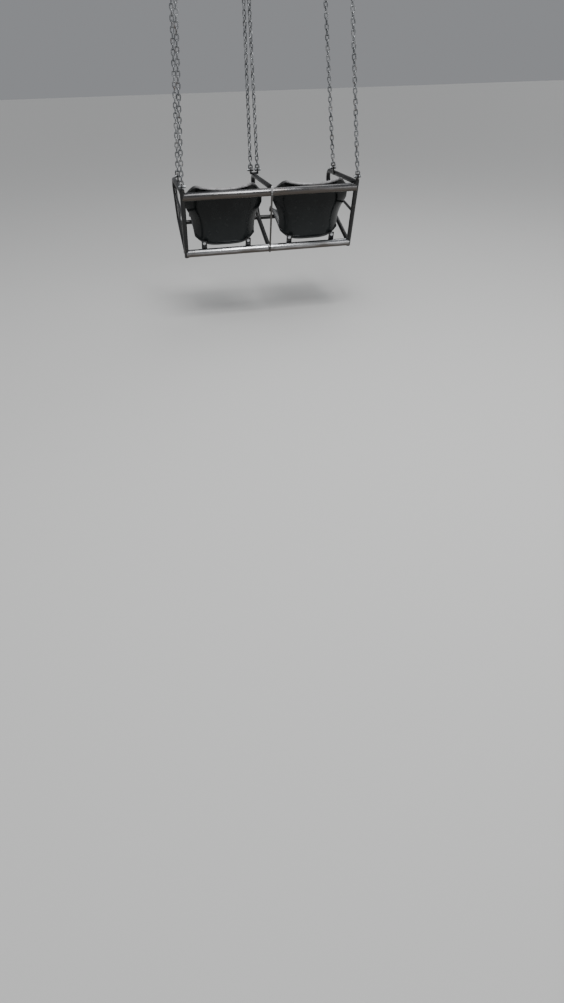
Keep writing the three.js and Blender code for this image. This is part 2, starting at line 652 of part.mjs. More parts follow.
// Lateral beam under the pivot, with an arm across each end and one forward from its middle
function buildSpreader() {
  const spreader = new THREE.Group();
  const armHalf = ARM_SECTION / 2;
  const beamLength = 2 * (CHAIN_TOP_X - armHalf - SEAT_GAP);
  const beamTop = BEAM_Z + BEAM_HEIGHT / 2;
  spreader.add(piece("spreader_beam", box(beamLength, BEAM_DEPTH, BEAM_HEIGHT, 0, 0, BEAM_Z), galvanised));
  const armLength = CHAIN_DEPTH + 2 * ARM_END;
  const armY = REAR_CHAIN_Y + CHAIN_DEPTH / 2;
  const lugFoot = BEAM_Z - armHalf * FOOT_DEPTH;
  for (const [side, sign] of [["left", -1], ["right", 1]]) {
    const bar = box(ARM_SECTION, armLength, ARM_SECTION, sign * CHAIN_TOP_X, armY, BEAM_Z);
    const rearLug = lug(sign * CHAIN_TOP_X, REAR_CHAIN_Y, UPPER_PIN_Z, lugFoot);
    const frontLug = lug(sign * FRONT_CHAIN_TOP_X, REAR_CHAIN_Y + CHAIN_DEPTH, UPPER_PIN_Z, lugFoot);
    spreader.add(piece(`spreader_arm_${side}`, join(bar, rearLug, frontLug), galvanised));
  }
  const middlePinY = REAR_CHAIN_Y + MIDDLE_CHAIN_DEPTH;
  const middleFrom = BEAM_DEPTH / 2 + SEAT_GAP;
  const middleTo = middlePinY + ARM_END;
  const middleY = (middleFrom + middleTo) / 2;
  const middleBar = box(ARM_SECTION, middleTo - middleFrom, ARM_SECTION, 0, middleY, BEAM_Z);
  const lugPlaces = [-WIDE_SHACKLE_LUG_X, WIDE_SHACKLE_LUG_X];
  const middleLugs = lugPlaces.map((x) => lug(x, middlePinY, UPPER_PIN_Z, lugFoot));
  spreader.add(piece("spreader_arm_middle", join(middleBar, ...middleLugs), galvanised));

  const sleeve = pinAlongY(HUB_RADIUS, HUB_HALF_LENGTH, -PIVOT_DROP);
  const webBottom = beamTop + SEAT_GAP;
  const webHeight = -PIVOT_DROP - webBottom;
  const web = box(2 * HUB_RADIUS, HUB_WEB, webHeight, 0, 0, webBottom + webHeight / 2);
  const bore = pinAlongY(HUB_BORE_RADIUS, HUB_HALF_LENGTH + CUTTER_OVERRUN, -PIVOT_DROP);
  spreader.add(piece("spreader_hub", cut(join(sleeve, web), bore), galvanised));
  return spreader;
}

// Fixed bracket: a plate with four bolt holes, two ears and the pin that the hub turns on
function buildBracket() {
  const bracket = new THREE.Group();
  const plate = box(PLATE_WIDTH, PLATE_DEPTH, PLATE_THICKNESS, 0, 0, -PLATE_THICKNESS / 2);
  const holes = [];
  for (const x of [-BOLT_X, BOLT_X]) {
    for (const y of [-BOLT_Y, BOLT_Y]) {
      const low = new THREE.Vector3(x, y, -PLATE_THICKNESS - CUTTER_OVERRUN);
      const high = new THREE.Vector3(x, y, CUTTER_OVERRUN);
      holes.push(rod(low, high, BOLT_HOLE_RADIUS, BOLT_HOLE_SIDES));
    }
  }
  bracket.add(piece("mounting_plate", cut(plate, ...holes), galvanised));

  const earShape = new THREE.Shape();
  const earTop = PIVOT_DROP - PLATE_THICKNESS - SEAT_GAP;
  earShape.moveTo(EAR_RADIUS + EAR_FLARE, earTop);
  earShape.lineTo(-EAR_RADIUS - EAR_FLARE, earTop);
  earShape.lineTo(-EAR_RADIUS, 0);
  earShape.absarc(0, 0, EAR_RADIUS, Math.PI, 2 * Math.PI, false);
  const pinHole = new THREE.Path();
  pinHole.absarc(0, 0, PIN_RADIUS + SEAT_GAP, 0, 2 * Math.PI, true);
  earShape.holes.push(pinHole);
  const options = { depth: EAR_THICKNESS, bevelEnabled: false, curveSegments: EAR_CURVE_STEPS };
  const ear = new THREE.ExtrudeGeometry(earShape, options);
  ear.rotateX(Math.PI / 2);
  for (const [name, y] of [["front", EAR_INNER_Y + EAR_THICKNESS], ["rear", -EAR_INNER_Y]]) {
    const plateEar = piece(`bracket_ear_${name}`, ear, galvanised);
    plateEar.position.set(0, y, -PIVOT_DROP);
    bracket.add(plateEar);
  }
  bracket.add(piece("swing_pin", pinAlongY(PIN_RADIUS, PIN_HALF_LENGTH, -PIVOT_DROP), chainSteel));
  return bracket;
}

const ride = new THREE.Group();
ride.name = "swing_ride_chair";
ride.add(buildBracket(), buildSpreader(), buildChains(), buildChair());
ride.updateMatrixWorld(true);

export default ride;
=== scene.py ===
"""The two-seat chair of a swing ride, hung on its chains. Metres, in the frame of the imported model."""

import math

import bmesh
import bpy
from mathutils import Matrix, Vector
from mathutils.bvhtree import BVHTree


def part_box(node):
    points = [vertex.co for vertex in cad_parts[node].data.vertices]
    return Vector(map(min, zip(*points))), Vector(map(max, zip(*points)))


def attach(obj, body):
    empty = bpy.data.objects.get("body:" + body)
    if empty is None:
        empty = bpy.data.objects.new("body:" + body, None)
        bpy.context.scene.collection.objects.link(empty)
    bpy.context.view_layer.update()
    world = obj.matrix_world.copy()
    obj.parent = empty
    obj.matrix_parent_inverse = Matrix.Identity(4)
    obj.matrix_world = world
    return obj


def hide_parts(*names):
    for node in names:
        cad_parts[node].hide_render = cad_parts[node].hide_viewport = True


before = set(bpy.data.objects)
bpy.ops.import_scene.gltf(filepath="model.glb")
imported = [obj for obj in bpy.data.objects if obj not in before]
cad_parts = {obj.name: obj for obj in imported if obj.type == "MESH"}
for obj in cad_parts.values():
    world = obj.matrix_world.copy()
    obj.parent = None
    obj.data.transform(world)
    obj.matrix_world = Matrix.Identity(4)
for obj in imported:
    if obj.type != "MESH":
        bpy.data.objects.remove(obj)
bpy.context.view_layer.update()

# The mounting plate and the two ears of the pivot bracket: flame-cut steel plate, welded together and
# then dipped in zinc, so its edges are slightly round and it shows a dull spangle. Four bolts hold it
# under the tip of a sweep arm.


class Amount:
    """A value that varies over a surface: a place, a colour, or a number that sums can use."""

    def __init__(self, finish, socket):
        self.finish = finish
        self.socket = socket

    def worked(self, operation, *others):
        return self.finish.add("ShaderNodeMath", dict(enumerate(others)), operation=operation)

    def __add__(self, other):
        return self.worked("ADD", self, other)

    __radd__ = __add__

    def __sub__(self, other):
        return self.worked("SUBTRACT", self, other)

    def __rsub__(self, other):
        return self.worked("SUBTRACT", other, self)

    def __mul__(self, other):
        return self.worked("MULTIPLY", self, other)

    __rmul__ = __mul__

    def __abs__(self):
        return self.worked("ABSOLUTE", self)


class Finish:
    """One surface finish, whose colour, roughness and relief are built up from patterns."""

    def __init__(self, name, **constants):
        self.material = bpy.data.materials.new(name)
        self.material.use_nodes = True
        self.tree = self.material.node_tree
        self.surface = self.tree.nodes["Principled BSDF"]
        for socket, value in constants.items():
            self.surface.inputs[socket.replace("_", " ")].default_value = value
        self.place = self.add("ShaderNodeTexCoord", {}, out="Object")

    def add(self, kind, sockets, out=0, **settings):
        """Adds a node with its settings, then its sockets' values or links, and gives one output."""
        node = self.tree.nodes.new(kind)
        for setting, value in settings.items():
            setattr(node, setting, value)
        for socket, value in sockets.items():
            if isinstance(value, Amount):
                self.tree.links.new(value.socket, node.inputs[socket])
            else:
                node.inputs[socket].default_value = value
        return Amount(self, node.outputs[out])

    def stretched(self, scale):
        return self.add("ShaderNodeMapping", {"Vector": self.place, "Scale": scale})

    def along(self, axis):
        return self.add("ShaderNodeSeparateXYZ", {"Vector": self.place}, out=axis)

    def noise(self, scale, detail, place=None):
        sockets = {"Vector": place or self.place, "Scale": scale, "Detail": detail}
        return self.add("ShaderNodeTexNoise", sockets, out="Fac")

    def between(self, amount, low, high, to_low=0.0, to_high=1.0):
        limits = {"From Min": low, "From Max": high, "To Min": to_low, "To Max": to_high}
        return self.add("ShaderNodeMapRange", {"Value": amount, **limits}, clamp=True)

    def blended(self, mask, shade, other):
        """Mixes two shades. A Mix node's sockets 0, 6 and 7 are its factor and its two colours."""
        colours = [value if isinstance(value, Amount) else (*value, 1) for value in (shade, other)]
        sockets = {0: mask, 6: colours[0], 7: colours[1]}
        return self.add("ShaderNodeMix", sockets, out=2, data_type="RGBA")

    def relief(self, height, distance, strength):
        sockets = {"Height": height, "Distance": distance, "Strength": strength}
        return self.add("ShaderNodeBump", sockets)

    def drives(self, **sockets):
        for socket, value in sockets.items():
            self.tree.links.new(value.socket, self.surface.inputs[socket.replace("_", " ")])
        return self.material


def galvanising():
    finish = Finish("galvanised_steel", Metallic=0.9, IOR=2.5)
    cells = finish.add("ShaderNodeTexVoronoi", {"Vector": finish.place, "Scale": 150}, out="Color")
    spangle = finish.add("ShaderNodeSeparateColor", {"Color": cells}, out="Red")
    cloud = finish.noise(7, 5)
    streaks = finish.noise(9, 4, finish.stretched((6, 6, 0.6)))
    tone = finish.between(spangle * 0.18 + cloud * 0.5 + streaks * 0.5, 0.3, 0.9)
    stain = finish.between(finish.noise(3.5, 7), 0.56, 0.74)
    colour = finish.blended(tone, (0.27, 0.28, 0.29), (0.5, 0.51, 0.525))
    colour = finish.blended(stain * 0.35, colour, (0.2, 0.16, 0.12))
    rough = finish.between(spangle * 0.3 + cloud * 0.7, 0.2, 0.8, 0.4, 0.62)
    height = spangle * 0.4 + finish.noise(320, 2) * 0.6
    return finish.drives(Base_Color=colour, Roughness=rough, Normal=finish.relief(height, 0.0004, 0.5))


galvanised = galvanising()


def piece(shape, name, finish, body, slot, *nodes, facet=32):
    """Makes a finished piece of the shape, which stands for the nodes."""
    mesh = bpy.data.meshes.new(name)
    shape.to_mesh(mesh)
    shape.free()
    mesh.polygons.foreach_set("use_smooth", [True] * len(mesh.polygons))
    mesh.set_sharp_from_angle(angle=math.radians(facet))
    mesh.materials.append(finish)
    made = bpy.data.objects.new(name, mesh)
    bpy.context.scene.collection.objects.link(made)
    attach(made, body)
    if nodes:
        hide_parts(*nodes)


def eased(shape, edges, width, segments=2):
    """Takes the sharpness off the edges."""
    options = {"affect": "EDGES", "offset_type": "OFFSET", "clamp_overlap": True, "material": -1}
    bmesh.ops.bevel(shape, geom=edges, offset=width, segments=segments, profile=0.5, **options)


def sharp_edges(edges):
    """The edges where two faces meet at more than 50 degrees."""
    limit = math.radians(50)
    return [e for e in edges if len(e.link_faces) == 2 and e.calc_face_angle(0) > limit]


def copied(node, width):
    """A node's own shape with its loose triangles merged and its edges eased."""
    shape = bmesh.new()
    shape.from_mesh(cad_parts[node].data)
    bmesh.ops.remove_doubles(shape, verts=shape.verts, dist=1e-5)
    flat = math.radians(1)
    bmesh.ops.dissolve_limit(shape, angle_limit=flat, verts=shape.verts, edges=shape.edges)
    eased(shape, sharp_edges(shape.edges), width)
    return shape


def sweep(shape, stations, size, sides=16, loop=False, capped=True, edge=0.0):
    """Draws a round bar along the stations; size is its radius, one for all of them or one for each."""
    points = [Vector(point) for point in stations]
    sizes = size if isinstance(size, list) else [size] * len(points)
    across = None
    places = []
    for i, point in enumerate(points):
        behind = point - points[i - 1] if i or loop else points[1] - point
        ahead = points[(i + 1) % len(points)] - point if i < len(points) - 1 or loop else behind
        along = (behind.normalized() + ahead.normalized()).normalized()
        across = along.orthogonal() if across is None else across - along * across.dot(along)
        across.normalize()
        axes = Matrix((across, along.cross(across), along)).transposed().to_4x4()
        places.append(Matrix.Translation(point) @ axes @ Matrix.Diagonal((sizes[i], sizes[i], 1, 1)))
    verts = bmesh.ops.create_circle(shape, segments=sides, radius=1, matrix=places[0])["verts"]
    first = edges = list({e for v in verts for e in v.link_edges})
    faces = []
    for before, after in zip(places, places[1:]):
        grown = bmesh.ops.extrude_edge_only(shape, edges=edges)["geom"]
        verts = [g for g in grown if isinstance(g, bmesh.types.BMVert)]
        faces += [g for g in grown if isinstance(g, bmesh.types.BMFace)]
        bmesh.ops.transform(shape, matrix=after @ before.inverted(), verts=verts)
        drawn = [g for g in grown if isinstance(g, bmesh.types.BMEdge)]
        edges = [e for e in drawn if all(v in verts for v in e.verts)]
    if loop:
        faces += bmesh.ops.bridge_loops(shape, edges=first + edges)["faces"]
    elif capped:
        faces += [bmesh.ops.contextual_create(shape, geom=end)["faces"][0] for end in (first, edges)]
    bmesh.ops.recalc_face_normals(shape, faces=faces)
    if edge:
        eased(shape, first + edges, edge)


def bead(shape, route, size=0.0028, loop=True):
    """Lays a weld along the route, as a run of small ripples."""
    ripple, narrow, wide = 0.004, 0.85, 1.05
    points = [Vector(point) for point in route]
    ends = points[1:] + points[:1] if loop else points[1:]
    stations = []
    for start, end in zip(points, ends):
        steps = max(1, round((end - start).length / ripple))
        stations += [start.lerp(end, i / steps) for i in range(steps)]
    sizes = [size * (narrow if i % 2 else wide) for i in range(len(stations))]
    sweep(shape, stations, sizes, sides=12, loop=loop)


def rectangle(low_a, low_b, high_a, high_b):
    """The corners of a rectangle, in order round it."""
    return [(low_a, low_b), (high_a, low_b), (high_a, high_b), (low_a, high_b)]


plate_easing, ear_weld = 0.0012, 0.0035
shape = copied("mounting_plate", plate_easing)
piece(shape, "top_plate", galvanised, "bracket", "galvanised_steel", "mounting_plate")
for node in ("bracket_ear_front", "bracket_ear_rear"):
    low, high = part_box(node)
    shape = copied(node, plate_easing)
    bead(shape, [(x, y, high.z) for x, y in rectangle(low.x, low.y, high.x, high.y)], ear_weld)
    piece(shape, node + "_plate", galvanised, "bracket", "galvanised_steel", node)


# The bracket's four fixing bolts, zinc plated: each has a washer and a nut under the plate, and its
# threaded end sticks out a little below the nut.


def turned(place, axis):
    """The matrix that stands a shape made along Z at the place, along the axis."""
    turn = Vector((0, 0, 1)).rotation_difference(Vector(axis))
    return Matrix.Translation(place) @ turn.to_matrix().to_4x4()


def disc(shape, place, axis, radius, depth, sides=32, edge=0.0, narrow=None):
    """A round bar or disc whose middle is at the place; its rims are eased by the edge."""
    sizes = {"radius1": radius, "radius2": radius if narrow is None else narrow, "depth": depth}
    ends = {"cap_ends": True, "cap_tris": False, "segments": sides}
    verts = bmesh.ops.create_cone(shape, matrix=turned(place, axis), **sizes, **ends)["verts"]
    if edge:
        caps = {f for v in verts for f in v.link_faces if len(f.verts) > 4}
        eased(shape, list({e for f in caps for e in f.edges}), edge)


def zinc_plating():
    finish = Finish("zinc_plated_steel", Metallic=1.0)
    cloud = finish.noise(90, 4)
    dull = finish.between(finish.noise(40, 5), 0.45, 0.7)
    colour = finish.blended(cloud, (0.42, 0.43, 0.45), (0.66, 0.67, 0.69))
    colour = finish.blended(dull * 0.5, colour, (0.25, 0.22, 0.18))
    rough = finish.between(cloud, 0.3, 0.7, 0.22, 0.42)
    return finish.drives(Base_Color=colour, Roughness=rough, Normal=finish.relief(cloud, 0.0001, 0.4))


bright_zinc = zinc_plating()
under_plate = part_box("mounting_plate")[0].z
upright = Vector((0, 0, 1))
bolt_x, bolt_y, bolt_length, bolt_above = 0.078, 0.073, 0.034, 0.0125
washer_depth, nut_depth = 0.003, 0.013
bolts = bmesh.new()
for x in (-bolt_x, bolt_x):
    for y in (-bolt_y, bolt_y):
        face = Vector((x, y, under_plate))
        disc(bolts, face - upright * washer_depth / 2, upright, 0.015, washer_depth, edge=0.0005)
        nut_at = face - upright * (washer_depth + nut_depth / 2)
        disc(bolts, nut_at, upright, 0.0139, nut_depth, sides=6, edge=0.001)
        shank_at = face + upright * (bolt_above - bolt_length / 2)
        disc(bolts, shank_at, upright, 0.008, bolt_length, edge=0.001)
piece(bolts, "bracket_bolts", bright_zinc, "bracket", "chain_steel")


# The swing pin: a turned steel bar through both ears and the hub. It has a collar at one end and, at the
# other, a nut that a split pin holds, each on a washer against its ear.

pin_low, pin_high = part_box("swing_pin")
pin_z = (pin_low.z + pin_high.z) / 2
ear_face = 0.054
collar_y, nut_y, split_y, split_length = pin_high.y - 0.009, -0.0627, -0.0695, 0.046
eye_x = split_length / 2 + 0.0005
pin = bmesh.new()
disc(pin, (0, 0, pin_z), (0, 1, 0), 0.015, pin_high.y - pin_low.y, edge=0.0015)
disc(pin, (0, collar_y, pin_z), (0, 1, 0), 0.022, 0.008, edge=0.0015)
for way, radius in ((1, 0.0205), (-1, 0.0235)):
    washer_y = way * (ear_face + washer_depth / 2)
    disc(pin, (0, washer_y, pin_z), (0, 1, 0), radius, washer_depth, edge=0.0005)
disc(pin, (0, nut_y, pin_z), (0, 1, 0), 0.0231, 0.011, sides=6, edge=0.001)
disc(pin, (0, split_y, pin_z), (1, 0, 0), 0.0019, split_length, sides=12, edge=0.0006)
disc(pin, (eye_x, split_y, pin_z), (0, 1, 0), 0.0034, 0.0028, sides=16, edge=0.0008)
piece(pin, "pivot_pin", bright_zinc, "bracket", "chain_steel", "swing_pin")


# The hub and the spreader: a bored sleeve with a grease nipple, on a web plate that is welded to a beam
# of square tube, with an arm of smaller tube across each end and one forward from the middle. All of it
# is galvanised.

web_x, web_y, nipple_z = 0.032, 0.008, pin_z + 0.0345
hub = copied("spreader_hub", 0.0015)
web_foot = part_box("spreader_beam")[1].z
bead(hub, [(x, y, web_foot + 0.001) for x, y in rectangle(-web_x, -web_y, web_x, web_y)])
disc(hub, (0, 0, nipple_z), upright, 0.004, 0.007, sides=6, edge=0.0005)
disc(hub, (0, 0, nipple_z + 0.004), upright, 0.0022, 0.004, sides=12, edge=0.0008)
piece(hub, "pivot_hub", galvanised, "spreader", "galvanised_steel", "spreader_hub")


def block(shape, low, high, edge):
    """A solid bar between two corners, with its edges rounded."""
    low, high = Vector(low), Vector(high)
    place = Matrix.Translation((low + high) / 2) @ Matrix.Diagonal((*(high - low), 1))
    verts = bmesh.ops.create_cube(shape, size=1, matrix=place)["verts"]
    eased(shape, list({e for v in verts for e in v.link_edges}), edge, segments=3)


lug_half, lug_radius, lug_hole = 0.004, 0.017, 0.0066


def lug(shape, centre, foot):
    """An upright plate with a round head and a hole for a pin along X.

    Foot is how far the plate's foot lies above the hole's middle; a negative one lies below it."""
    centre = Vector(centre)
    facing = Matrix.Rotation(math.pi / 2, 4, "Y")
    place = Matrix.Translation(centre - Vector((lug_half, 0, 0))) @ facing
    loops = []
    for size in (lug_radius, lug_hole):
        verts = bmesh.ops.create_circle(shape, segments=32, radius=size, matrix=place)["verts"]
        loops += list({e for v in verts for e in v.link_edges})
        for vert in verts:
            if size == lug_radius and (vert.co.z - centre.z) * foot > 1e-9:
                vert.co.z = centre.z + foot
    rings = bmesh.ops.bridge_loops(shape, edges=loops)["faces"]
    grown = bmesh.ops.extrude_face_region(shape, geom=rings)["geom"]
    moved = [g for g in grown if isinstance(g, bmesh.types.BMVert)]
    bmesh.ops.translate(shape, vec=(2 * lug_half, 0, 0), verts=moved)
    faces = {f for v in moved for f in v.link_faces} | set(rings)
    bmesh.ops.recalc_face_normals(shape, faces=list(faces))
    eased(shape, sharp_edges({e for f in faces if f.is_valid for e in f.edges}), 0.0008)


beam_low, beam_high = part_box("spreader_beam")
beam = bmesh.new()
block(beam, beam_low, beam_high, 0.006)
piece(beam, "spreader_cross_beam", galvanised, "spreader", "galvanised_steel", "spreader_beam")
beam_z = (beam_low.z + beam_high.z) / 2
pin_drop = 0.05
upper_pin_z = beam_z - pin_drop
beam_half, arm_half, lug_foot = 0.03, 0.023, 0.029
arm_foot, arm_top = beam_z - arm_half, beam_z + arm_half
rear_y, front_y, middle_y = -0.3, 0.2, 0.32
rear_top_x, front_top_x, middle_lug_x = 0.47, 0.455, 0.012
upper_lugs = {
    "left": [(-rear_top_x, rear_y), (-front_top_x, front_y)],
    "right": [(rear_top_x, rear_y), (front_top_x, front_y)],
    "middle": [(-middle_lug_x, middle_y), (middle_lug_x, middle_y)],
}
for side, places in upper_lugs.items():
    node = "spreader_arm_" + side
    low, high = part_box(node)
    arm = bmesh.new()
    block(arm, (low.x, low.y, arm_foot), (high.x, high.y, arm_top), 0.005)
    for x, y in places:
        lug(arm, (x, y, upper_pin_z), lug_foot)
        foot = rectangle(x - lug_half, y - lug_radius, x + lug_half, y + lug_radius)
        bead(arm, [(*corner, arm_foot) for corner in foot])
    if side == "middle":
        joint = [(x, low.y, z) for x, z in rectangle(-arm_half, arm_foot, arm_half, arm_top)]
    else:
        face = high.x if side == "left" else low.x
        joint = [(face, y, z) for y, z in rectangle(-beam_half, arm_foot, beam_half, arm_top)]
    bead(arm, joint)
    piece(arm, node + "_tube", galvanised, "spreader", "galvanised_steel", node)


# The shackles at the ends of the chains: a forged bow with an eye at each end, and a pin that has a
# round head on one side and a nut with a split pin on the other.


shackle_top, shackle_bar, thinned_end, eye_top = 0.034, 0.005, 0.0044, 0.009


def shackle(place, half, corner, head):
    """A shackle with its pin at the place's origin and its bow up.

    Half is the way from its middle to a leg, corner the radius of its bow's bends, and head the side, -1
    or 1, of the pin's head."""
    shape = bmesh.new()
    arc = [math.radians(a) for a in range(0, 91, 15)]
    bend_x, bend_z = half - corner, shackle_top - corner
    right = [(bend_x + corner * math.cos(a), 0, bend_z + corner * math.sin(a)) for a in arc]
    right.insert(0, (half, 0, eye_top))
    left = [(-x, y, z) for x, y, z in reversed(right)]
    stations = right + (left[1:] if half == corner else left)
    sizes = [thinned_end] + [shackle_bar] * (len(stations) - 2) + [thinned_end]
    sweep(shape, stations, sizes, sides=14, capped=False)
    for side in (-1, 1):
        disc(shape, (side * half, 0, 0), (1, 0, 0), 0.0095, 0.01, edge=0.0022)
    disc(shape, (0, 0, 0), (1, 0, 0), 0.006, 2 * half + 0.013, sides=20)
    disc(shape, (head * (half + 0.0065), 0, 0), (1, 0, 0), 0.0085, 0.003, edge=0.001)
    nut = Vector((-head * (half + 0.0083), 0, 0))
    disc(shape, nut, (1, 0, 0), 0.0088, 0.0065, sides=6, edge=0.0008)
    disc(shape, nut, (0, 1, 0), 0.0012, 0.0215, sides=8)
    disc(shape, nut + Vector((0, 0.0112, 0)), (1, 0, 0), 0.0024, 0.0022, sides=12, edge=0.0006)
    bmesh.ops.transform(shape, matrix=place, verts=shape.verts)
    return shape


def chain_zinc():
    finish = Finish("weathered_zinc", Metallic=1.0)
    cloud = finish.noise(60, 5)
    paler_mask = finish.between(finish.noise(22, 4), 0.42, 0.66)
    rust = finish.between(finish.noise(35, 6), 0.58, 0.72)
    colour = finish.blended(cloud, (0.12, 0.125, 0.13), (0.26, 0.27, 0.28))
    colour = finish.blended(paler_mask * 0.6, colour, (0.5, 0.51, 0.52))
    colour = finish.blended(rust * 0.5, colour, (0.13, 0.07, 0.035))
    rough = finish.between(cloud - paler_mask * 0.2 + rust * 0.3, 0.2, 0.9, 0.3, 0.62)
    return finish.drives(Base_Color=colour, Roughness=rough, Normal=finish.relief(cloud, 0.0003, 0.5))


weathered_zinc = chain_zinc()
lower_pin_z = -1.437
rear_foot_x, front_foot_x, middle_foot_x, middle_top_x = 0.558, 0.541, 0.024, 0.0145
chain_ends = {
    "rear_left": (-rear_foot_x, -rear_top_x, rear_y),
    "rear_right": (rear_foot_x, rear_top_x, rear_y),
    "front_left": (-front_foot_x, -front_top_x, front_y),
    "front_right": (front_foot_x, front_top_x, front_y),
    "middle_left": (-middle_foot_x, -middle_top_x, middle_y),
    "middle_right": (middle_foot_x, middle_top_x, middle_y),
}
bow_down = Matrix.Rotation(math.pi, 4, "Y")
narrow_half, wide_half, wide_corner = 0.012, 0.024, 0.009
for name, (low_x, high_x, y) in chain_ends.items():
    body = name.split("_")[0] + "_chains"
    outside = 1 if low_x > 0 else -1
    head = -outside if "middle" in name else outside
    place = Matrix.Translation((low_x, y, lower_pin_z))
    node = "lower_shackle_" + name
    low = shackle(place, narrow_half, narrow_half, head)
    piece(low, node + "_forged", weathered_zinc, body, "chain_steel", node)
    if "middle" not in name:
        place = Matrix.Translation((high_x, y, upper_pin_z)) @ bow_down
        node = "upper_shackle_" + name
        high = shackle(place, narrow_half, narrow_half, 1)
        piece(high, node + "_forged", weathered_zinc, body, "chain_steel", node)
place = Matrix.Translation((0, middle_y, upper_pin_z)) @ bow_down
node = "upper_shackle_middle"
wide = shackle(place, wide_half, wide_corner, 1)
piece(wide, node + "_forged", weathered_zinc, "middle_chains", "chain_steel", node)


# The chains: short welded links of 8 mm wire, each turned a quarter from the last, hooked at both ends
# in the bow of a shackle. The two middle chains twist by 45 degrees over the links at each end, which
# leaves them room side by side.

wire, bow_radius, pitch = 0.004, 0.01, 0.028
end_turn, turned_links = 15, 3
first_link = shackle_top - shackle_bar + pitch / 2
straight = pitch / 2 + wire - bow_radius
arc = [math.radians(a) for a in range(0, 181, 45)]
link_top = [(0, bow_radius * math.cos(a), straight + bow_radius * math.sin(a)) for a in arc]
shape = bmesh.new()
sweep(shape, link_top + [(0, -y, -z) for _, y, z in link_top], wire, sides=6, loop=True)
link = bpy.data.meshes.new("link")
shape.to_mesh(link)
shape.free()
for name, (low_x, high_x, y) in chain_ends.items():
    low = Vector((low_x, y, lower_pin_z))
    rise = Vector((high_x, y, upper_pin_z)) - low
    spaces = round((rise.length - 2 * first_link) / pitch)
    step = (rise.length - 2 * first_link) / spaces
    chain = bmesh.new()
    extra = end_turn if "middle" in name else 0
    for i in range(spaces + 1):
        turn = 90 * i + extra * min(i, turned_links, spaces - i)
        place = turned(low, rise) @ Matrix.Translation((0, 0, first_link + step * i))
        place = place @ Matrix.Rotation(math.radians(turn), 4, "Z")
        known = len(chain.verts)
        chain.from_mesh(link)
        chain.verts.ensure_lookup_table()
        bmesh.ops.transform(chain, matrix=place, verts=chain.verts[known:])
    node = "chain_" + name
    body = name.split("_")[0] + "_chains"
    piece(chain, node + "_links", weathered_zinc, body, "chain_steel", node, facet=80)
bpy.data.meshes.remove(link)


# The back frame: two level tubes of bare drawn steel, polished by use and welded to a rear post at each
# end. The upper one is painted darker than the lower one: painted shade, as both are the same steel.


def drawn_steel(name, axis_z, bright):
    """Steel tube along X, bright above, with painted shade that turns its underside dark brown."""
    finish = Finish(name, Metallic=1.0)
    height = finish.along("Z")
    lines = finish.noise(60, 4, finish.stretched((0.08, 1, 1)))
    rubs = finish.noise(400, 2, finish.stretched((1, 0.06, 0.06)))
    cloud = finish.noise(8, 5)
    patches = finish.noise(14, 7, finish.stretched((0.5, 1, 1)))
    # Painted shade: below the axis the colour turns dark brown, broken up by patches and lines.
    under = finish.between((axis_z - height) * 30 + patches * 0.9 + lines * 0.3, 0.2, 0.85)
    grime = finish.between(patches, 0.5, 0.72)
    shade = finish.between(lines * 0.5 + cloud * 0.5, 0.3, 0.7)
    colour = finish.blended(shade, tuple(0.6 * v for v in bright), bright)
    colour = finish.blended(grime * 0.4, colour, (0.16, 0.135, 0.115))
    colour = finish.blended(under * 0.95, colour, (0.09, 0.077, 0.067))
    rough = finish.between(rubs * 0.4 + cloud * 0.5 + under * 0.5, 0.3, 1.2, 0.2, 0.5)
    return finish.drives(Base_Color=colour, Roughness=rough, Normal=finish.relief(lines, 0.0003, 0.35))


rail_y, rail_z, back_drop, back_run = -0.2774, -1.499, 0.362, 0.132
back_length = math.hypot(back_drop, back_run)
lean_angle = math.atan2(back_run, back_drop)
lean = Matrix.Translation((0, rail_y, rail_z)) @ Matrix.Rotation(lean_angle, 4, "X")
rail_radius, side_x = 0.024, rear_foot_x
# The top rail's darker colour is painted shade; both rails are the same steel.
rails = {"top_rail": (0, (0.21, 0.21, 0.215)), "bottom_rail": (-back_length, (0.72, 0.73, 0.75))}
for name, (z, bright) in rails.items():
    shape = bmesh.new()
    ends = [lean @ Vector((-side_x, 0, z)), lean @ Vector((side_x, 0, z))]
    sweep(shape, ends, rail_radius, sides=48, edge=0.0015)
    bare_steel = drawn_steel(name + "_steel", ends[0].z, bright)
    piece(shape, name + "_tube", bare_steel, "chair", "bare_steel", name)


# The tie: a narrow flat bar of tarnished steel on the back of both rails at the middle. A bolt holds it
# to each rail, and a wider head sits in its upper end. From just below the top rail up, the bar is paler.


def tarnished_steel():
    finish = Finish("tarnished_steel", Metallic=1.0)
    height = finish.along("Z")
    cloud = finish.noise(30, 5)
    # Paler from just below the top rail upwards.
    paler_mask = finish.between(height + cloud * 0.03, rail_z - 0.005, rail_z + 0.04)
    colour = finish.blended(cloud, (0.06, 0.057, 0.055), (0.13, 0.125, 0.12))
    colour = finish.blended(paler_mask, colour, (0.55, 0.55, 0.56))
    rough = finish.between(cloud, 0.3, 0.7, 0.3, 0.5)
    return finish.drives(Base_Color=colour, Roughness=rough, Normal=finish.relief(cloud, 0.0002, 0.4))


tarnished = tarnished_steel()
tie_half, tie_back, tie_front, head_y = 0.006, -0.0303, -0.0243, -0.032
tie_foot, tie_top = -back_length - 0.015, 0.052
shape = bmesh.new()
block(shape, (-tie_half, tie_back, tie_foot), (tie_half, tie_front, tie_top), 0.0015)
for z, radius in ((0.041, 0.0095), (0, 0.007), (-back_length, 0.007)):
    disc(shape, (0, head_y, z), (0, 1, 0), radius, 0.004, edge=0.0015)
bmesh.ops.transform(shape, matrix=lean, verts=shape.verts)
piece(shape, "middle_tie_bar", tarnished, "chair", "bare_steel", "middle_tie")


# The rear posts and the side frames, of thinner tube, welded and painted black. Each post runs on above
# the top rail, where a plate in its end holds a rear chain. Each side frame is one bent tube: an armrest,
# a front post and a lower bar back to the bottom rail, with a thin strut across it.


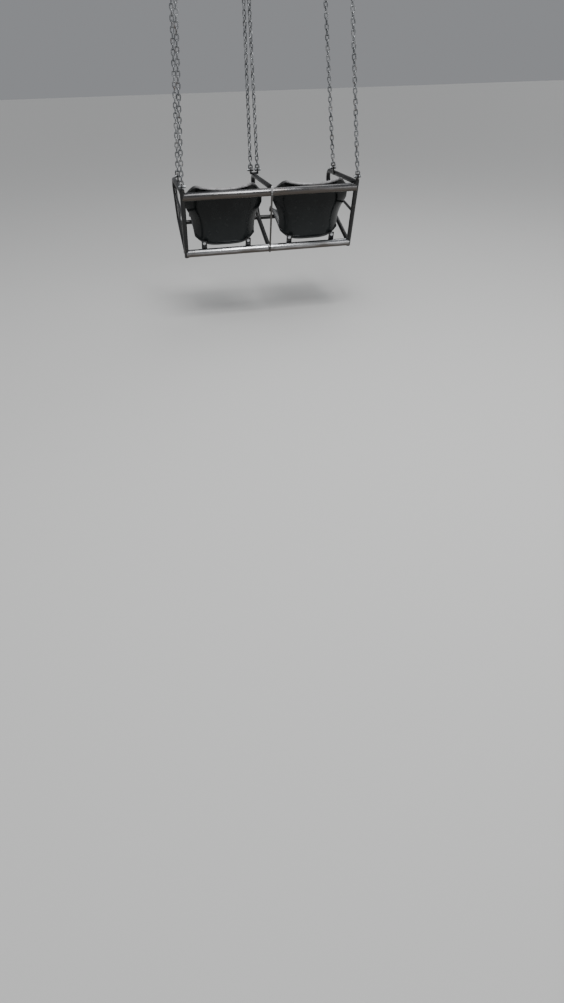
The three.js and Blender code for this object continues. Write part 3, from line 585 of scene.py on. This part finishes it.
def black_enamel():
    finish = Finish("black_enamel", IOR=1.42)
    chips = finish.between(finish.noise(70, 6) + finish.noise(9, 3) * 0.5, 0.93, 0.96)
    dust = finish.between(finish.noise(6, 6), 0.42, 0.75)
    cloud = finish.noise(26, 4)
    colour = finish.blended(dust * 0.5, (0.006, 0.0065, 0.007), (0.02, 0.019, 0.018))
    colour = finish.blended(chips, colour, (0.16, 0.14, 0.12))
    rough = finish.between(cloud * 0.5 + dust * 0.4, 0.1, 0.9, 0.22, 0.5)
    height = finish.noise(240, 2) * 0.25 - chips
    relief = finish.relief(height, 0.0003, 0.5)
    return finish.drives(Base_Color=colour, Roughness=rough, Metallic=chips, Normal=relief)


enamel = black_enamel()


def bent(corners, radius, steps=8):
    """The stations of a tube that runs straight between the corners and bends round all but the ends."""
    points = [Vector(corner) for corner in corners]
    stations = [points[0]]
    for before, corner, after in zip(points, points[1:], points[2:]):
        come, go = (corner - before).normalized(), (after - corner).normalized()
        angle = come.angle(go)
        axis = come.cross(go).normalized()
        start = corner - come * radius * math.tan(angle / 2)
        centre = start + axis.cross(come) * radius
        for i in range(steps + 1):
            turn = Matrix.Rotation(angle * i / steps, 4, axis)
            stations.append(centre + turn @ (start - centre))
    return stations + [points[-1]]


lower_bar_slope = 0.35


def lower_bar_z(y):
    return -back_drop + lower_bar_slope * (y - back_run)


def joint_line(start, toward, radius, centre, axis, other):
    """Where a tube from the start comes out of another, of the other radius, that runs along the axis."""
    along, axis = (Vector(toward) - Vector(start)).normalized(), Vector(axis).normalized()
    side = along.orthogonal().normalized()
    rise = along.cross(side)
    run = along - axis * along.dot(axis)
    points = []
    for degrees in range(0, 360, 12):
        angle = math.radians(degrees)
        skin = Vector(start) + (side * math.cos(angle) + rise * math.sin(angle)) * radius
        gap = skin - Vector(centre)
        gap -= axis * gap.dot(axis)
        inside = gap.dot(run) ** 2 - run.dot(run) * (gap.dot(gap) - other * other)
        points.append(skin + along * (math.sqrt(max(0, inside)) - gap.dot(run)) / run.dot(run))
    return points


tube_radius, strut_radius, bend_radius, thin_weld = 0.015, 0.0085, 0.045, 0.0022
post_top, post_pin, weld_half, lug_side = 0.046, 0.066, 0.016, lug_half + 0.0005
armrest_start, armrest_z, front_low, strut_z, strut_slope = -0.009, 0.026, 0.545, -0.155, 0.15
rear_lug_foot, front_lug_foot, post_weld_half, weld_rise = -0.028, -0.045, 0.012, 0.0077
chair_at = Vector((0, rail_y, rail_z))
front_top = Vector((0, 0.7, armrest_z))
front_slope = (front_top.y - front_low) / (front_top.z - lower_bar_z(front_low))
strut_start = -strut_z * back_run / back_drop
strut_down = strut_z - strut_slope * strut_start - front_top.z
strut_end = (front_top.y + front_slope * strut_down) / (1 - front_slope * strut_slope)
across = Vector((1, 0, 0))
post_down = Vector((0, back_run, -back_drop))
for side, x in (("left", -side_x), ("right", side_x)):
    shape = bmesh.new()
    post_ends = [(x, 0, post_top), (x, 0, -back_length - rail_radius)]
    sweep(shape, post_ends, tube_radius, sides=32, edge=0.001)
    lug(shape, (x, 0, post_pin), rear_lug_foot)
    for face in (-lug_side, lug_side):
        weld = [(x + face, y, post_top) for y in (-post_weld_half, post_weld_half)]
        bead(shape, weld, thin_weld, loop=False)
    for rail_up in (0, -back_length):
        around = []
        for turn in range(90, 271, 12):
            y = tube_radius * math.sin(math.radians(turn))
            inwards = tube_radius * math.cos(math.radians(turn))
            around.append((x + math.copysign(inwards, -x), y, math.sqrt(rail_radius ** 2 - y * y)))
        route = around + [(px, py, -pz) for px, py, pz in reversed(around)]
        bead(shape, [(px, py, pz + rail_up) for px, py, pz in route])
    bmesh.ops.transform(shape, matrix=lean, verts=shape.verts)
    piece(shape, f"rear_post_{side}_tube", enamel, "chair", "black_paint", f"rear_post_{side}")
    corners = [(x, armrest_start, armrest_z), (x, front_top.y, armrest_z)]
    corners += [(x, front_low, lower_bar_z(front_low)), (x, back_run, -back_drop)]
    first, second, third, last = [chair_at + Vector(corner) for corner in corners]
    shape = bmesh.new()
    stations = bent([first, second, third, last], bend_radius)
    sweep(shape, stations, tube_radius, sides=32, edge=0.001)
    lug(shape, (math.copysign(front_foot_x, x), front_y, lower_pin_z), front_lug_foot)
    weld_x = math.copysign(front_foot_x + lug_side, x)
    for z in (second.z - weld_rise, second.z + weld_rise):
        weld = [(weld_x, y, z) for y in (front_y - weld_half, front_y + weld_half)]
        bead(shape, weld, thin_weld, loop=False)
    on_post = joint_line(first, second, tube_radius, chair_at + across * x, post_down, tube_radius)
    on_rail = joint_line(first, second, tube_radius, chair_at, across, rail_radius)
    bead(shape, [max(pair, key=lambda point: point.y) for pair in zip(on_post, on_rail)])
    bead(shape, joint_line(last, third, tube_radius, last, across, rail_radius))
    nodes = [f"{name}_{side}" for name in ("armrest", "front_post", "lower_bar")]
    piece(shape, f"side_frame_{side}", enamel, "chair", "black_paint", *nodes)
    shape = bmesh.new()
    ends = [Vector((x, y, strut_z + strut_slope * (y - strut_start))) for y in (strut_start, strut_end)]
    back, ahead = [chair_at + end for end in ends]
    sweep(shape, [back, ahead], strut_radius, sides=20)
    bead(shape, joint_line(back, ahead, strut_radius, back, post_down, tube_radius), thin_weld)
    bead(shape, joint_line(ahead, back, strut_radius, ahead, third - second, tube_radius), thin_weld)
    piece(shape, f"side_strut_{side}_rod", enamel, "chair", "black_paint", f"side_strut_{side}")


# The four tabs that hold the seats: short flat plates welded on the front of the bottom rail and painted
# black, each with a round spacer that keeps the shell off it. A bright bolt passes through each.

seat_x, tab_out, tab_half, tab_back = 0.288, 0.147, 0.018, rail_radius - 0.006
tab_foot, tab_top, tab_bolt_z, spacer_end = -0.378, -0.316, -0.33, rail_radius + 0.019
tabs, fixings = bmesh.new(), bmesh.new()
for x in [side * seat_x + inner * tab_out for side in (-1, 1) for inner in (-1, 1)]:
    block(tabs, (x - tab_half, tab_back, tab_foot), (x + tab_half, rail_radius, tab_top), 0.0015)
    spacer_at = (x, (tab_back + spacer_end) / 2, tab_bolt_z)
    disc(tabs, spacer_at, (0, 1, 0), 0.011, spacer_end - tab_back, edge=0.001)
    disc(fixings, (x, tab_back - 0.0007, tab_bolt_z), (0, 1, 0), 0.0105, 0.0015, edge=0.0005)
    disc(fixings, (x, tab_back - 0.0047, tab_bolt_z), (0, 1, 0), 0.0095, 0.0065, sides=6, edge=0.0008)
for shape in (tabs, fixings):
    bmesh.ops.transform(shape, matrix=lean, verts=shape.verts)
piece(tabs, "seat_tabs", enamel, "chair", "black_paint")
piece(fixings, "seat_tab_bolts", bright_zinc, "chair", "chain_steel")


# The middle frame between the seats, of the same tube, and the seat rail that runs across under the
# front of both seats. A short plate on the middle armrest carries two lugs for the middle chains.

middle_start, seat_rail_y, seat_rail_radius, middle_lug_foot = 0.019, 0.5, 0.014, -0.022
plate_half, plate_foot, plate_top = middle_foot_x + lug_half, rail_z + 0.035, rail_z + 0.045
shape = bmesh.new()
first = chair_at + Vector((0, middle_start, armrest_z))
seat_rail = chair_at + Vector((0, seat_rail_y, lower_bar_z(seat_rail_y)))
stations = bent([first, chair_at + front_top, seat_rail], bend_radius)
sweep(shape, stations, tube_radius, sides=32, edge=0.001)
plate_from = (-plate_half, middle_y - lug_radius, plate_foot)
block(shape, plate_from, (plate_half, middle_y + lug_radius, plate_top), 0.001)
for x in (-middle_foot_x, middle_foot_x):
    lug(shape, (x, middle_y, lower_pin_z), middle_lug_foot)
    for face in (-lug_side, lug_side):
        weld = [(x + face, middle_y + y, plate_top + 0.0005) for y in (-weld_half, weld_half)]
        bead(shape, weld, thin_weld, loop=False)
bar_start = chair_at + Vector((0, back_run, -back_drop))
sweep(shape, [bar_start, seat_rail], tube_radius, sides=32)
bead(shape, joint_line(bar_start, seat_rail, tube_radius, bar_start, across, rail_radius))
bead(shape, joint_line(seat_rail, bar_start, tube_radius, seat_rail, across, seat_rail_radius))
bead(shape, joint_line(seat_rail, stations[-2], tube_radius, seat_rail, across, seat_rail_radius))
around = joint_line(first, first + Vector((0, 1, 0)), tube_radius, chair_at, across, rail_radius)
low_ones = [point for point in around if point.z < first.z - 0.004]
bead(shape, sorted(low_ones, key=lambda point: math.atan2(point.x, first.z - point.z)), loop=False)
nodes = ["armrest_middle", "front_post_middle", "lower_bar_middle"]
piece(shape, "middle_frame", enamel, "chair", "black_paint", *nodes)
shape = bmesh.new()
ends = [seat_rail - across * side_x, seat_rail + across * side_x]
sweep(shape, ends, seat_rail_radius, sides=32)
for end in ends:
    lower_bar_way = Vector((0, 1, lower_bar_slope))
    bead(shape, joint_line(end, seat_rail, seat_rail_radius, end, lower_bar_way, tube_radius))
piece(shape, "seat_rail_tube", enamel, "chair", "black_paint", "seat_rail")


# The seats: two buckets moulded in glossy black plastic, each with a back that wraps forward at its
# sides, a shallow pan and a rolled rim. They are bolted to the bottom rail's tabs and to the seat rail.


def moulded_plastic():
    """Glossy black, with dust and scuffs, and greyer towards the pan, where a reflection is painted in.
    """
    finish = Finish("moulded_black_plastic", IOR=1.3)
    scuffs = finish.between(finish.noise(30, 6, finish.stretched((1, 0.35, 1))), 0.55, 0.72)
    dust = finish.between(finish.noise(5, 6), 0.4, 0.72)
    colour = finish.blended(dust * 0.6, (0.002, 0.0026, 0.0027), (0.007, 0.0085, 0.0085))
    colour = finish.blended(scuffs * 0.3, colour, (0.022, 0.024, 0.024))
    # Painted reflection: greyer over the 0.3 m below the top rail, and fully grey below that.
    height = finish.along("Z") + finish.noise(11, 5) * 0.12
    painted_reflection = finish.between(height, rail_z - 0.3, rail_z, 1.0, 0.0)
    colour = finish.blended(painted_reflection * 0.85, colour, (0.019, 0.0225, 0.0235))
    rough = finish.between(dust * 0.4 + scuffs * 0.6, 0.0, 1.0, 0.16, 0.42)
    relief = finish.relief(finish.noise(180, 2), 0.0002, 0.35)
    return finish.drives(Base_Color=colour, Roughness=rough, Normal=relief)


def rim_plastic_with_painted_highlight():
    """The rim, painted pale along the middle of each seat's upper edge: a painted highlight."""
    finish = Finish("rim_plastic_painted_highlight", IOR=1.5)
    rubs = finish.between(finish.noise(45, 5), 0.4, 0.65)
    height = finish.along("Z") + finish.noise(20, 4) * 0.03
    # Painted highlight: pale on the rim's upper part, along the middle of each seat.
    upper = finish.between(height, rail_z - 0.012, rail_z + 0.022)
    paler_mask = finish.between(abs(abs(finish.along("X")) - seat_x), 0.14, 0.2, 1.0, 0.12)
    painted_highlight = upper * paler_mask * finish.between(rubs, 0, 1, 0.55, 1)
    colour = finish.blended(rubs, (0.012, 0.0125, 0.013), (0.05, 0.05, 0.052))
    colour = finish.blended(painted_highlight, colour, (0.36, 0.355, 0.36))
    rough = finish.between(rubs, 0, 1, 0.24, 0.42)
    return finish.drives(Base_Color=colour, Roughness=rough, Normal=finish.relief(rubs, 0.0002, 0.3))


plastic = moulded_plastic()
rim_with_painted_highlight = rim_plastic_with_painted_highlight()


def along_table(table, share):
    """The value at the share of the way, on a smooth curve through the table's entries."""
    last = len(table) - 1
    i = next((k for k in range(last) if share <= table[k + 1][0]), last - 1)
    (start, value), (end, after) = table[i], table[i + 1]
    span = end - start
    slopes = []
    for k in (i, i + 1):
        low, high = table[max(k - 1, 0)], table[min(k + 1, last)]
        slopes.append(span * (high[1] - low[1]) / (high[0] - low[0]))
    w = (share - start) / span
    rising = (1 + 2 * w) * (1 - w) ** 2 * value + w * (1 - w) ** 2 * slopes[0]
    return rising + w * w * (3 - 2 * w) * after - w * w * (1 - w) * slopes[1]


# Half width, depth of the sides and power of their curve, from the top edge (0) to the front edge (1)
half_widths = [
    (0, 0.222), (0.055, 0.234), (0.11, 0.249), (0.165, 0.219), (0.22, 0.202), (0.4, 0.199), (1, 0.196),
]
side_depths = [(0, 0.082), (0.2, 0.084), (0.45, 0.066), (0.6, 0.062), (0.85, 0.044), (1, 0.014)]
side_powers = [(0, 2.2), (0.4, 4), (1, 3.5)]
wall, seat_gap, top_corner, corner_from, first_step = 0.006, 0.0003, 0.045, 0.78, 0.055
top_rise, front_edge, seat_bend, lip_turn, lip_radius = 0.02, 0.515, 0.065, -1.05, 0.03
bend_from, pan_from, lip_from = 0.275, 0.625, 0.85
back_steps, bend_steps, pan_steps, lip_steps, columns = 12, 12, 10, 6, 32
down = post_down.normalized()
out = Vector((0, back_drop, back_run)).normalized() * (rail_radius + seat_gap)
pan_low = Vector((0, 0.2, -0.33))
to_rail = seat_rail - chair_at - pan_low
over_rail = math.asin((seat_rail_radius + seat_gap) / to_rail.length)
pan_angle = math.atan2(to_rail.z, to_rail.y) + over_rail
pan_ahead = Vector((0, math.cos(pan_angle), math.sin(pan_angle)))
pan_up = Vector((0, -pan_ahead.z, pan_ahead.y))
reach = pan_up.dot(pan_low - out) / pan_up.dot(down)
top, corner = out - down * top_rise, out + down * reach
front = corner + pan_ahead * (front_edge - corner.y) / pan_ahead.y
spine = bent([top, corner, front], seat_bend, bend_steps)
profile = []
for i in range(back_steps):
    share = i / back_steps
    profile.append((top.lerp(spine[1], share), down, bend_from * share))
for i, point in enumerate(spine[1:-1]):
    share = i / bend_steps
    profile.append((point, down.slerp(pan_ahead, share), bend_from + (pan_from - bend_from) * share))
for i in range(1, pan_steps + 1):
    share = i / pan_steps
    profile.append((spine[-2].lerp(front, share), pan_ahead, pan_from + (lip_from - pan_from) * share))
for i in range(1, lip_steps + 1):
    share = i / lip_steps
    turn, lever = Matrix.Rotation(lip_turn * share, 3, "X"), pan_up * lip_radius
    profile.append((front - lever + turn @ lever, turn @ pan_ahead, lip_from + (1 - lip_from) * share))
rows = len(profile) - 1
rail_bolt_x, thin_rim, thick_rim, thick_above, thinning = 0.1, 0.0052, 0.008, rail_z - 0.03, 0.05
for side, shell_x in (("left", -seat_x), ("right", seat_x)):
    shape = bmesh.new()
    bmesh.ops.create_grid(shape, x_segments=columns, y_segments=rows, size=0.5)
    for vert in shape.verts:
        u = 2 * vert.co.x
        point, along, share = profile[round((0.5 - vert.co.y) * rows)]
        inwards = Vector((0, -along.z, along.y))
        depth = along_table(side_depths, share) * abs(u) ** along_table(side_powers, share) + wall / 2
        rounding = max(0, (abs(u) - corner_from) / (1 - corner_from))
        fade = max(0, 1 - (point - top).length / first_step)
        lowered = top_corner * (1 - math.cos(rounding * math.pi / 2)) * fade
        place = point + inwards * depth + along * lowered + chair_at
        vert.co = (shell_x + u * (along_table(half_widths, share) - wall / 2), place.y, place.z)
    corner_vert = next(v for v in shape.verts if v.is_boundary and len(v.link_edges) == 2)
    rim = [corner_vert]
    while len(rim) < 2 * (columns + rows):
        ways = [e.other_vert(rim[-1]) for e in rim[-1].link_edges if e.is_boundary]
        rim.append(next(v for v in ways if v not in rim[-2:]))
    route = [vert.co.copy() for vert in rim]
    bmesh.ops.recalc_face_normals(shape, faces=shape.faces)
    bmesh.ops.solidify(shape, geom=shape.faces[:], thickness=wall)
    skin = BVHTree.FromBMesh(shape)
    rail_bolts = [seat_rail + across * x for x in (shell_x - rail_bolt_x, shell_x + rail_bolt_x)]
    aims = [(place + pan_up * 0.1, -pan_up) for place in rail_bolts]
    for x in (shell_x - tab_out, shell_x + tab_out):
        aims.append((lean @ Vector((x, 0.2, tab_bolt_z)), lean.to_3x3() @ Vector((0, -1, 0))))
    heads = bmesh.new()
    for origin, aim in aims:
        spot = skin.ray_cast(origin, aim)[0]
        disc(heads, spot - aim * 0.0008, aim, 0.0115, 0.0016, edge=0.0004)
        disc(heads, spot - aim * 0.0038, -aim, 0.0082, 0.0045, edge=0.0015, narrow=0.0055)
    for place in rail_bolts:
        under = place - pan_up * seat_rail_radius
        disc(heads, under - pan_up * 0.0008, pan_up, 0.0105, 0.0016, edge=0.0004)
        disc(heads, under - pan_up * 0.0046, pan_up, 0.0088, 0.006, sides=6, edge=0.0008)
    piece(heads, f"shell_{side}_bolts", bright_zinc, "chair", "chain_steel")
    piece(shape, f"shell_{side}_skin", plastic, "chair", "seat_plastic", f"seat_shell_{side}")
    lip = bmesh.new()
    upper = [max(0, 1 - max(0, thick_above - spot.z) / thinning) for spot in route]
    sizes = [thin_rim + (thick_rim - thin_rim) * share for share in upper]
    sweep(lip, route, sizes, sides=12, loop=True)
    piece(lip, f"shell_{side}_rim", rim_with_painted_highlight, "chair", "seat_plastic")


# The studio: a pale floor, an even pale light from all round, five soft lamps, and the camera of the
# picture.

floor_z, floor_size = -2.35, 60
floor = bmesh.new()
lowered = Matrix.Translation((0, 0, floor_z))
bmesh.ops.create_grid(floor, x_segments=1, y_segments=1, size=floor_size, matrix=lowered)
mesh = bpy.data.meshes.new("floor")
floor.to_mesh(mesh)
floor.free()
ground = bpy.data.objects.new("floor", mesh)
bpy.context.scene.collection.objects.link(ground)
pale = Finish("pale_floor", Base_Color=(0.6, 0.6, 0.59, 1), Roughness=0.8)
mesh.materials.append(pale.material)

world = bpy.data.worlds.new("studio")
bpy.context.scene.world = world
world.use_nodes = True
world.node_tree.nodes["Background"].inputs["Color"].default_value = (0.86, 0.88, 0.92, 1)
world.node_tree.nodes["Background"].inputs["Strength"].default_value = 0.3
# Each lamp's kind, place, the point it faces, its size in metres or a sun's angle in radians, and power
lights = {
    "key": ("AREA", (0.3, -3.3, 2.6), (0, -0.2, -1.6), 2.0, 200),
    "overhead": ("AREA", (1.5, 1.5, 2.6), (0, 0.3, -1.6), 3.0, 40),
    "ahead": ("SUN", (3.2, 2.9, -0.4), (0, 0, -1.6), 0.5, 0.4),
    "fill": ("AREA", (3.4, -3.6, -0.6), (0, 0, -1.6), 2.0, 20),
    "even": ("SUN", (-1.4, -2.0, 6.0), (0, 0, 0), 0.7, 0.9),
}
for name, (kind, place, aim, size, power) in lights.items():
    lamp = bpy.data.lights.new(name, kind)
    setattr(lamp, "angle" if kind == "SUN" else "size", size)
    lamp.energy = power
    light = bpy.data.objects.new(name, lamp)
    light.location = place
    light.rotation_euler = (Vector(place) - Vector(aim)).to_track_quat("Z", "Y").to_euler()
    bpy.context.scene.collection.objects.link(light)

# The camera's axes and place, fitted to the ends of the photographed rails and to the six chains
focal_pixels, picture_height = 650, 1003
lens = bpy.data.cameras.new("camera")
lens.sensor_width = 36
lens.lens = focal_pixels / picture_height * lens.sensor_width
camera = bpy.data.objects.new("camera", lens)
right = Vector((0.97688, -0.21228, -0.0252))
up = Vector((0.13809, 0.53666, 0.83242))
turned_to = Matrix((right, up, right.cross(up))).transposed().to_4x4()
camera.matrix_world = Matrix.Translation((-0.8705, -4.6804, -0.8578)) @ turned_to
bpy.context.scene.collection.objects.link(camera)
bpy.context.scene.camera = camera
